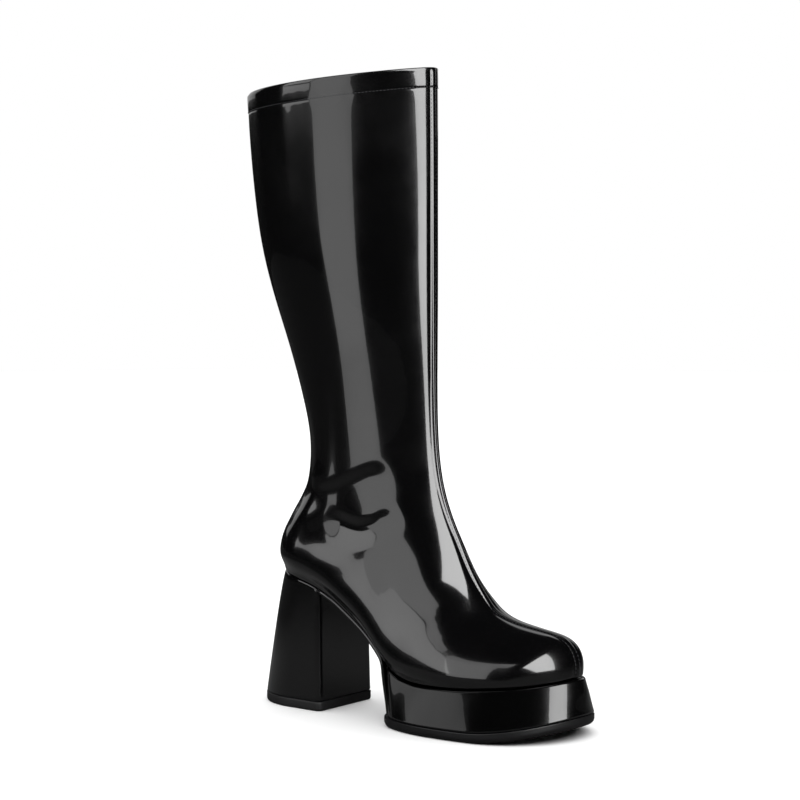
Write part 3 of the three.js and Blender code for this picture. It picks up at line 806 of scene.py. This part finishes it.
def stitch_mesh(line, normals, pitch, length, radius, lift):
    """Short arched threads along a line, each diving into the skin at its ends."""
    along = length_along(line, 0)
    count = int(along[-1] / pitch)
    points = []
    faces = []
    sides = 6
    for k in range(count):
        start = (k + 0.5) * pitch - length / 2
        base = len(points)
        for t in np.linspace(0, 1, 6):
            at = start + t * length
            centre = np.array([np.interp(at, along, line[:, c]) for c in range(3)])
            normal = unit(np.array([np.interp(at, along, normals[:, c]) for c in range(3)]))
            ahead = np.array([np.interp(at + 0.3, along, line[:, c]) for c in range(3)])
            behind = np.array([np.interp(at - 0.3, along, line[:, c]) for c in range(3)])
            tangent = unit(ahead - behind)
            sideways = np.cross(normal, tangent)
            thick = radius * math.sqrt(max(1 - (2 * t - 1) ** 4, 0.05))
            centre = centre + normal * (lift - 0.5 * radius * (2 * t - 1) ** 2 * 2)
            for s in range(sides):
                a = 2 * math.pi * s / sides
                points.append(centre + thick * (math.cos(a) * sideways + math.sin(a) * normal))
        for r in range(5):
            for s in range(sides):
                a = base + r * sides + s
                b = base + r * sides + (s + 1) % sides
                faces.append((a, b, b + sides, a + sides))
        faces.append([base + s for s in range(sides)])
        faces.append([base + 5 * sides + s for s in reversed(range(sides))])
    return points, faces


def line_at_depth(depth):
    points = np.empty((columns + 1, 3))
    normals = np.empty((columns + 1, 3))
    for j in range(columns):
        for c in range(3):
            points[j, c] = np.interp(depth, below_rim[::-1, j], dressed[::-1, j, c])
            normals[j, c] = np.interp(depth, below_rim[::-1, j], skin_out[::-1, j, c])
    points[-1] = points[0]
    normals[-1] = normals[0]
    return points, normals


def line_beside_seam(distance, side):
    rows = range(8, len(dressed) - 4)
    points = []
    normals = []
    for i in rows:
        gap = across[i]
        mask = seam_side[i] == side
        order = np.argsort(np.where(mask, gap, 1e9))[:24]
        points.append([np.interp(distance, gap[order], dressed[i, order, c]) for c in range(3)])
        normals.append([np.interp(distance, gap[order], skin_out[i, order, c]) for c in range(3)])
    return np.array(points), np.array(normals)


hem_line, hem_normals = line_at_depth(HEM_HEIGHT - 0.5)
hem_points, hem_faces = stitch_mesh(hem_line, hem_normals, *HEM_STITCH)
make("hem_stitches", hem_points, hem_faces, thread)
for seam_name, side in (("outer", -1), ("inner", 1)):
    seam_line, seam_normals = line_beside_seam(SEAM_HALF_WIDTH + 0.6, side)
    seam_points, seam_faces = stitch_mesh(seam_line, seam_normals, *SEAM_STITCH)
    make(f"front_stitches_{seam_name}", seam_points, seam_faces, thread)


# Sole pieces


def half_outline(x, y, count, start_y):
    """One side of an outline from the back middle to the front middle, at even distances."""
    path = np.stack([np.concatenate([[x[0]], x]), np.concatenate([[start_y], y])], axis=1)
    length = length_along(path, 0)
    at = np.linspace(0, length[-1], count)
    return np.interp(at, length, path[:, 0]), np.interp(at, length, path[:, 1]), at, length


def ease(ring, passes):
    for _ in range(passes):
        ring = 0.25 * np.roll(ring, 1, 0) + 0.5 * ring + 0.25 * np.roll(ring, -1, 0)
    return ring


def corner_loss(distance, radius):
    t = np.clip(distance / radius, 0, 1)
    return radius * (1 - np.sqrt(1 - (1 - t) ** 2))


def ground_z(x):
    t = np.maximum((x / FOOT_LENGTH - SPRING_FROM_AT) / (1.035 - SPRING_FROM_AT), 0)
    return TOE_SPRING * t * t


def forefoot_ring(share, out, back_shift, height, count=190):
    """One outline of the forefoot: share is 0 at the tread and 1 at the feather edge."""
    back = 0.02 * np.linspace(0, 1, 30) ** 2
    s = np.concatenate([back, 1 - (1 - 0.02) * np.linspace(1, 0, 500)[1:] ** 2])
    start = FOREFOOT_BACK + back_shift + 2.2 * (1 - share)
    end = FOOT_LENGTH + mix(TOE_FLARE, PLATFORM_LEDGE, share) + out
    x = mix(start, end, s)
    source = mix(FOREFOOT_BACK, FOOT_LENGTH, s)
    loss = corner_loss(x - start, mix(CORNER_RADIUS, CORNER_RADIUS_TOP, share))
    halves = []
    for side in (-1, 1):
        low = tread_share[side](s) * BALL_WIDTH * rounded(end - x, TOE_REACH[side], 0)
        high = edge_width(source, side) * (1 + PLATFORM_LEDGE / (0.5 * BALL_WIDTH))
        width = mix(low, high, share) * (1 + out / (0.5 * BALL_WIDTH)) - loss
        y = seam_y(x) + side * width
        rx, ry, at, length = half_outline(x, y, count, seam_y(x[:1])[0])
        source_at = np.interp(at, length, np.concatenate([[source[0]], source]))
        halves.append(np.stack([rx, ry, height(rx, source_at)], axis=1))
    ring = np.concatenate([halves[0], halves[1][::-1][1:-1]])
    return ease(ring, 2)


def cap(ring, steps=4):
    """Rows that run from a ring in to its middle line, to close an end."""
    rows = []
    partner = np.concatenate([[0], np.arange(len(ring) - 1, 0, -1)])
    for k in range(1, steps + 1):
        row = mix(ring, 0.5 * (ring + ring[partner]), k / steps * 0.999)
        rows.append(row)
    return rows


def low_z(x):
    return ground_z(x) + TREAD_THICK + GAP


def top_z(source):
    return feather_z(source) - GAP


# Roundings of the platform's cover at its low and top edges
PLATFORM_LOW_IN = 0.5
PLATFORM_LOW_EDGE = 0.9
PLATFORM_EDGE = 1.5


def above_tread(rise):
    return lambda x, source: low_z(x) + rise


def below_upper(drop):
    return lambda x, source: top_z(source) - drop


def up_the_platform(share):
    return lambda x, source: mix(low_z(x) + PLATFORM_LOW_EDGE, top_z(source) - PLATFORM_EDGE, share)


platform_rows = []
for turn in np.linspace(0, 1, 5)[:-1] * math.pi / 2:
    out = -PLATFORM_LOW_IN - PLATFORM_LOW_EDGE * (1 - math.sin(turn))
    rise = PLATFORM_LOW_EDGE * (1 - math.cos(turn))
    platform_rows.append(forefoot_ring(0, out, 0, above_tread(rise)))
for q in np.linspace(0, 1, 34):
    out = mix(-PLATFORM_LOW_IN, 0, smooth(q * 1.4))
    platform_rows.append(forefoot_ring(q, out, 0, up_the_platform(q)))
for turn in np.linspace(0, 1, 7)[1:] * math.pi / 2:
    back_in = -PLATFORM_EDGE * (1 - math.cos(turn))
    drop = PLATFORM_EDGE * (1 - math.sin(turn))
    platform_rows.append(forefoot_ring(1, back_in, 0, below_upper(drop)))
platform_rows = cap(platform_rows[0])[::-1] + platform_rows + cap(platform_rows[-1])
make(
    "platform_cover",
    np.concatenate(platform_rows),
    ring_faces(len(platform_rows), len(platform_rows[0])),
    patent_platform,
    "platform",
)

# Tread: rounded lower edge, straight side, and the grooved ground face
TREAD_BACK = -(GAP + WAIST_THICK)
TREAD_OUT = -0.3
TREAD_ROUND_RISE = 3.4
TREAD_ROUND_IN = 2.6
TREAD_BACK_IN = 1.2
TREAD_TOP_IN = 0.25


def above_ground(rise):
    return lambda x, source: ground_z(x) + rise


tread_rows = []
for turn in np.linspace(0, 1, 8) * math.pi / 2:
    rise = TREAD_ROUND_RISE * (1 - math.cos(turn))
    out = TREAD_OUT - TREAD_ROUND_IN * (1 - math.sin(turn))
    back = TREAD_BACK + TREAD_BACK_IN * math.cos(turn)
    tread_rows.append(forefoot_ring(0, out, back, above_ground(rise)))
for rise in (4.2, 5.2, 5.9, 6.3):
    tread_rows.append(forefoot_ring(0, TREAD_OUT, TREAD_BACK, above_ground(rise)))
tread_rows.append(forefoot_ring(0, TREAD_OUT - TREAD_TOP_IN, TREAD_BACK, above_ground(TREAD_THICK)))
tread_rows = tread_rows + cap(tread_rows[-1])
make(
    "tread_edge",
    np.concatenate(tread_rows),
    ring_faces(len(tread_rows), len(tread_rows[0])),
    sole_rubber,
    "outsole",
)


def tread_face():
    """The ground face as a grid with cross grooves."""
    pitch = FOOT_LENGTH / 19
    centres = [FOREFOOT_BACK + 12 + i * pitch for i in range(9) if i not in (3, 4)]
    start = FOREFOOT_BACK + TREAD_BACK + 2.2 + TREAD_BACK_IN
    end = FOOT_LENGTH + TOE_FLARE - 1.9
    s = np.concatenate([np.linspace(0, 0.9, 90), 1 - 0.1 * np.linspace(1, 0, 26)[1:] ** 2])
    x = list(mix(start, end, s))
    for c in centres:
        x += [c - 1.5, c - 1.3, c - 1.1, c - 0.9, c, c + 0.9, c + 1.1, c + 1.3, c + 1.5]
    x = np.array(sorted(x))
    ring = tread_rows[0]
    half = (len(ring) + 2) // 2
    outer = ring[:half]
    inner = np.concatenate([ring[half - 1 :], ring[:1]])[::-1]
    keep_out = np.maximum.accumulate(outer[:, 0])
    keep_in = np.maximum.accumulate(inner[:, 0])
    low = np.interp(x, keep_out, outer[:, 1])
    high = np.interp(x, keep_in, inner[:, 1])
    t = np.linspace(0, 1, 41)
    yy = low[:, None] + (high - low)[:, None] * t[None, :]
    xx = np.repeat(x[:, None], len(t), 1)
    depth = np.zeros_like(xx)
    for c in centres:
        near = 1 - smooth((np.abs(xx - c) - 0.9) / 0.4)
        reach = 1 - smooth((np.abs(yy - seam_y(xx)) - 0.31 * BALL_WIDTH + 1) / 2)
        depth = np.maximum(depth, near * reach)
    zz = ground_z(xx) + TREAD_GROOVE * depth
    return np.stack([xx, yy, zz], axis=-1)


ground_face = tread_face()
make(
    "tread_face",
    ground_face,
    sheet_faces(*ground_face.shape[:2]),
    sole_rubber,
)


def waist_path():
    """Top side of the waist strip seen from the side, rounded where it turns down the riser."""
    riser = FOREFOOT_BACK - GAP
    x = np.linspace(BREAST_X + GAP, riser - 1.5, 60)
    top = feather_z(riser) - GAP
    points = list(zip(x, feather_z(x) - GAP))
    for share in np.linspace(0.93, 0.12, 26):
        points.append((riser + 2.2 * (1 - share), top * share))
    path = np.array(points)
    length = length_along(path, 0)
    at = np.linspace(0, length[-1], 130)
    even = np.stack([np.interp(at, length, path[:, 0]), np.interp(at, length, path[:, 1])], axis=1)
    for _ in range(6):
        even[1:-1] = 0.25 * even[:-2] + 0.5 * even[1:-1] + 0.25 * even[2:]
    return even


def waist_strip():
    path = waist_path()
    tangent = unit(np.gradient(path, axis=0))
    normal = np.stack([-tangent[:, 1], tangent[:, 0]], axis=1)
    top = feather_z(FOREFOOT_BACK - GAP) - GAP
    down = smooth(1 - path[:, 1] / top) * (path[:, 0] > FOREFOOT_BACK - 3)
    rows = []
    radius = 1.2
    low_out = tread_share[-1](0.0) * BALL_WIDTH - 0.7 * CORNER_RADIUS
    low_in = tread_share[1](0.0) * BALL_WIDTH - 0.7 * CORNER_RADIUS
    bridge = np.linspace(0, 1, 12)[1:-1]
    for i, (x, z) in enumerate(path):
        outer = mix(edge_width(np.array([x]), -1)[0] * 0.985, low_out, down[i])
        inner = mix(edge_width(np.array([x]), 1)[0] * 0.985, low_in, down[i])
        row = []
        ends = [(-1, outer), (1, inner)]
        for side, width in ends:
            for turn in np.linspace(0, math.pi, 9):
                inward = radius * (1 - math.sin(turn))
                depth = WAIST_THICK / 2 - (WAIST_THICK / 2) * math.cos(turn)
                depth = depth if side < 0 else WAIST_THICK - depth
                row.append((side * (width - inward), depth))
        ring = []
        first = row[:9]
        second = row[9:]
        bridge_low = [(mix(first[-1][0], second[0][0], t), WAIST_THICK) for t in bridge]
        bridge_top = [(mix(second[-1][0], first[0][0], t), 0.0) for t in bridge]
        seam = seam_y(np.array([x]))[0]
        for y, depth in first + bridge_low + second + bridge_top:
            ring.append([x - normal[i, 0] * depth, seam + y, z - normal[i, 1] * depth])
        rows.append(ring)
    return np.array(rows)


strip = waist_strip()
strip_faces = [list(f) for f in ring_faces(*strip.shape[:2])]
strip_faces.append(list(range(strip.shape[1])))
strip_faces.append([(strip.shape[0] - 1) * strip.shape[1] + k for k in reversed(range(strip.shape[1]))])
make("waist_cover", strip, strip_faces, patent_platform)


# Heel


def heel_ring(share, out, height, count=150):
    """Heel outline: share is 0 at the feather edge and 1 on the ground."""
    back_x = mix(0.2, -HEEL_FLARE, share**0.85) - out
    front_x = mix(BREAST_X - 0.9, BREAST_X, share) + out
    back = 0.06 * np.linspace(0, 1, 60) ** 2
    front = 1 - 0.1 * np.linspace(1, 0, 120)[1:] ** 2
    s = np.concatenate([back, np.linspace(0.06, 0.9, 120)[1:], front])
    x = mix(back_x, front_x, s)
    seat = mix(0, BREAST_X, s)
    loss = corner_loss(front_x - x, HEEL_CORNER)
    around = rounded(x - back_x, mix(*HEEL_ROUND, share), 0)
    halves = []
    for side in (-1, 1):
        seat_width = foot_share[side](seat / FOOT_LENGTH) * BALL_WIDTH - 0.4
        wide = mix(seat_width, HEEL_FACE_WIDTH / 2, share)
        y = seam_y(x) * (1 - share) + side * ((wide + out) * around - loss)
        path_x = np.concatenate([x, [front_x]])
        path_y = np.concatenate([y, [seam_y(np.array([front_x]))[0] * (1 - share)]])
        rx, ry, _, _ = half_outline(path_x, path_y, count, y[0])
        halves.append(np.stack([rx, ry, height(rx)], axis=1))
    ring = np.concatenate([halves[0], halves[1][::-1][1:-1]])
    return ease(ring, 1)


HEEL_LOW = HEEL_PIECE_THICK + GAP
HEEL_EDGE = 0.9


def level(height):
    return lambda x: np.full_like(x, height)


def below_seat(drop):
    return lambda x: feather_z(x) - GAP - drop


def down_the_heel(share):
    return lambda x: mix(feather_z(x) - GAP - HEEL_EDGE, HEEL_LOW + HEEL_EDGE, share)


heel_rows = []
for turn in np.linspace(0, 1, 5)[:-1] * math.pi / 2:
    rise = HEEL_EDGE * (1 - math.cos(turn))
    heel_rows.append(heel_ring(1, -HEEL_EDGE * (1 - math.sin(turn)), level(HEEL_LOW + rise)))
for q in np.linspace(1, 0, 40):
    heel_rows.append(heel_ring(q, 0, down_the_heel(q)))
for turn in np.linspace(0, 1, 5)[1:] * math.pi / 2:
    back_in = -HEEL_EDGE * (1 - math.cos(turn))
    heel_rows.append(heel_ring(0, back_in, below_seat(HEEL_EDGE * (1 - math.sin(turn)))))
heel_rows = cap(heel_rows[0])[::-1] + heel_rows + cap(heel_rows[-1])
make(
    "heel_cover",
    np.concatenate(heel_rows),
    ring_faces(len(heel_rows), len(heel_rows[0])),
    patent_heel,
    "heel",
)

# Side of the top piece: how far it stands out, height above the ground
TOP_PIECE_SIDE = [
    (-1.6, 0), (-0.9, 0), (-0.45, 0.12), (-0.1, 0.45), (0.15, 0.9), (0.3, 1.5), (0.3, 3.2), (0.3, 4.8),
    (0.3, 5.7), (0.15, 6.15), (-0.2, 6.4),
]
piece_rows = [heel_ring(1, out, level(rise)) for out, rise in TOP_PIECE_SIDE]
piece_rows = cap(piece_rows[0])[::-1] + piece_rows + cap(piece_rows[-1])
make(
    "top_piece",
    np.concatenate(piece_rows),
    ring_faces(len(piece_rows), len(piece_rows[0])),
    heel_rubber,
    "heel_top_piece",
)


# Insole sock inside the boot
def insole_rows():
    x = 0.15 + (FOOT_LENGTH - 0.3) * (1 - np.cos(np.pi * np.linspace(0, 1, 150))) / 2
    width = {side: edge_width(x, side) for side in (-1, 1)}
    outer = inset(np.stack([x, seam_y(x) - width[-1], x], axis=1), WALL + GAP + 0.4)
    inner = inset(np.stack([x, seam_y(x) + width[1], x], axis=1), WALL + GAP + 0.4)
    t = np.linspace(0, 1, 33)
    yy = outer[:, 1][:, None] + (inner[:, 1] - outer[:, 1])[:, None] * t[None, :]
    xx = np.repeat(outer[:, 0][:, None], len(t), 1)
    edge = 1 - np.abs(2 * t - 1) ** 8
    zz = feather_z(xx) + WALL + GAP + INSOLE_THICK - 1.0 + 1.0 * edge[None, :]
    return np.stack([xx, yy, zz], axis=-1)


sock = insole_rows()
make("insole_sock", sock, sheet_faces(*sock.shape[:2]), insole_cloth, "insole")


# Stage: a pale floor and soft lights, in metres
FLOOR_RADIUS = 3.0
MIRROR_FLOOR_RADIUS = 2.0
MIRROR_FLOOR_DROP = 0.0004
LIGHT_AIM = (0.07, -0.03)
TOP_AIM = (0.05, 0, 0)
TOP_PLACE = (0.05, 0.0, 2.6)
TOP_SIDE = 9.0
TOP_RADIANCE = 1.6
BACKGROUND_SEEN = (1.0, 1.0, 1.0, 1)
BACKGROUND_MIRRORED = (0.008, 0.008, 0.008, 1)


def floor_disc(name, height, radius):
    turns = np.linspace(0, 2 * math.pi, 97)[:-1]
    points = [(radius * math.cos(t), radius * math.sin(t), height) for t in turns]
    mesh = bpy.data.meshes.new(name)
    mesh.from_pydata(points, [], [list(range(len(points)))])
    material, tree, shader = new_material(name, (0.9, 0.9, 0.9), 0.9)
    shader.inputs["Specular IOR Level"].default_value = 0.0
    mesh.materials.append(material)
    piece = bpy.data.objects.new(name, mesh)
    bpy.context.scene.collection.objects.link(piece)
    return piece, tree, shader


# the pale floor that is seen, and a dimmer one in its place for the boot's reflections: its darker
# colour is painted shade that only the reflections show
floor, _, _ = floor_disc("floor", 0.0, FLOOR_RADIUS)
floor.visible_glossy = False
floor.visible_shadow = False
mirror_floor, mirror_tree, mirror_shader = floor_disc(
    "floor_mirrored", -MIRROR_FLOOR_DROP, MIRROR_FLOOR_RADIUS
)
mirror_floor.visible_camera = False
mirror_floor.visible_diffuse = False
mirror_floor.visible_shadow = False
# painted shade: the mirrored floor's colour dims away from the boot
floor_coords = mirror_tree.nodes.new("ShaderNodeTexCoord")
floor_reach = mirror_tree.nodes.new("ShaderNodeVectorMath")
floor_reach.operation = "LENGTH"
floor_shade = mirror_tree.nodes.new("ShaderNodeMapRange")
floor_shade.interpolation_type = "SMOOTHSTEP"
floor_shade.inputs["From Min"].default_value = 0.2
floor_shade.inputs["From Max"].default_value = 0.6
floor_shade.inputs["To Min"].default_value = 0.14
floor_shade.inputs["To Max"].default_value = 0.035
mirror_tree.links.new(floor_coords.outputs["Object"], floor_reach.inputs[0])
mirror_tree.links.new(floor_reach.outputs["Value"], floor_shade.inputs["Value"])
mirror_tree.links.new(floor_shade.outputs["Result"], mirror_shader.inputs["Base Color"])


def softbox(name, place, aim, width, height, radiance, glossy=True):
    light = bpy.data.lights.new(name, "AREA")
    light.shape = "RECTANGLE"
    light.size = width
    light.size_y = height
    light.energy = 4 * width * height * radiance
    lamp = bpy.data.objects.new(name, light)
    lamp.location = place
    lamp.rotation_euler = (Vector(aim) - Vector(place)).to_track_quat("-Z", "Y").to_euler()
    lamp.visible_glossy = glossy
    lamp.visible_camera = False
    bpy.context.scene.collection.objects.link(lamp)
    return lamp


def upright_panel(name, left, right, low, high, distance, radiance, roll=0.0):
    """A softbox between two directions, in degrees round from +X, and two heights."""
    middle = math.radians((left + right) / 2)
    width = 2 * distance * math.tan(math.radians(abs(right - left) / 2))
    level = (low + high) / 2
    aim = (*LIGHT_AIM, level)
    at = (aim[0] + distance * math.cos(middle), aim[1] + distance * math.sin(middle), level)
    lamp = softbox(name, at, aim, width, high - low, radiance)
    rolled = lamp.rotation_euler.to_quaternion() @ Quaternion((0, 0, 1), math.radians(roll))
    lamp.rotation_euler = rolled.to_euler()
    return lamp


def light_only(lamp, pieces, state="INCLUDE"):
    """The lamp lights only these pieces, or with EXCLUDE all but these."""
    group = bpy.data.collections.new(lamp.name + "_lights")
    for piece in pieces:
        group.objects.link(piece)
    lamp.light_linking.receiver_collection = group
    for entry in group.collection_objects:
        entry.light_linking.link_state = state


def leaning_panel(name, edge, width, near, far, radiance):
    """A softbox that leans over the boot.

    Its edge lies in one direction, and its near and far ends are given as distance and height.
    """
    turn = math.radians(edge)
    outward = Vector((math.cos(turn), math.sin(turn), 0))
    aside = Vector((math.sin(turn), -math.cos(turn), 0))
    slope = Vector((near[0] - far[0], near[1] - far[1]))
    middle = Vector((*LIGHT_AIM, (near[1] + far[1]) / 2))
    middle = middle + outward * (near[0] + far[0]) / 2 + aside * width / 2
    face = (outward * -slope.y + Vector((0, 0, slope.x))).normalized()
    return softbox(name, middle, middle + face, width, slope.length, radiance)


platform_piece = bpy.data.objects["platform_cover"]
softbox("soft_top", TOP_PLACE, TOP_AIM, TOP_SIDE, TOP_SIDE, TOP_RADIANCE, glossy=False)
side_lamp = upright_panel("soft_side", -109, -75, low=0.0, high=1.7, distance=0.9, radiance=0.95)
back_lamp = upright_panel(
    "soft_back", -142, -111.2, low=0.45, high=4.5, distance=3.6, radiance=1.25, roll=4.0
)
front_lamp = leaning_panel(
    "soft_front", 3, width=2.3, near=(1.55, 2.47), far=(5.49, -0.3), radiance=4.9
)
rear_lamp = upright_panel("soft_rear", 95, 180, low=0.45, high=3.0, distance=3.6, radiance=0.35)
for lamp in (side_lamp, back_lamp, front_lamp):
    light_only(lamp, [platform_piece, floor], "EXCLUDE")
light_only(rear_lamp, [floor], "EXCLUDE")
# two low softboxes for the platform alone
low_back_lamp = upright_panel(
    "soft_low_back", -151, -109, low=0.0, high=1.0, distance=1.5, radiance=0.45
)
low_front_lamp = upright_panel(
    "soft_low_front", -7, 18, low=0.0, high=1.0, distance=1.5, radiance=3.8
)
for lamp in (low_back_lamp, low_front_lamp):
    light_only(lamp, [platform_piece])

# background: white to the camera, nearly black in reflections
world = bpy.data.worlds.new("studio")
world.use_nodes = True
background = world.node_tree.nodes["Background"]
background.inputs["Strength"].default_value = 1.0
seen = world.node_tree.nodes.new("ShaderNodeLightPath")
shades = world.node_tree.nodes.new("ShaderNodeMix")
shades.data_type = "RGBA"
shades.inputs["A"].default_value = BACKGROUND_MIRRORED
shades.inputs["B"].default_value = BACKGROUND_SEEN
world.node_tree.links.new(seen.outputs["Is Camera Ray"], shades.inputs["Factor"])
world.node_tree.links.new(shades.outputs["Result"], background.inputs["Color"])
bpy.context.scene.world = world
bpy.context.scene.view_settings.view_transform = "Standard"

camera_data = bpy.data.cameras.new("camera")
camera_data.lens = CAMERA_LENS
camera_data.sensor_width = CAMERA_SENSOR
camera = bpy.data.objects.new("camera", camera_data)
camera.location = CAMERA_PLACE
camera.rotation_euler = (math.radians(CAMERA_PITCH), 0, math.radians(CAMERA_TURN))
bpy.context.scene.collection.objects.link(camera)
bpy.context.scene.camera = camera

bpy.context.view_layer.update()
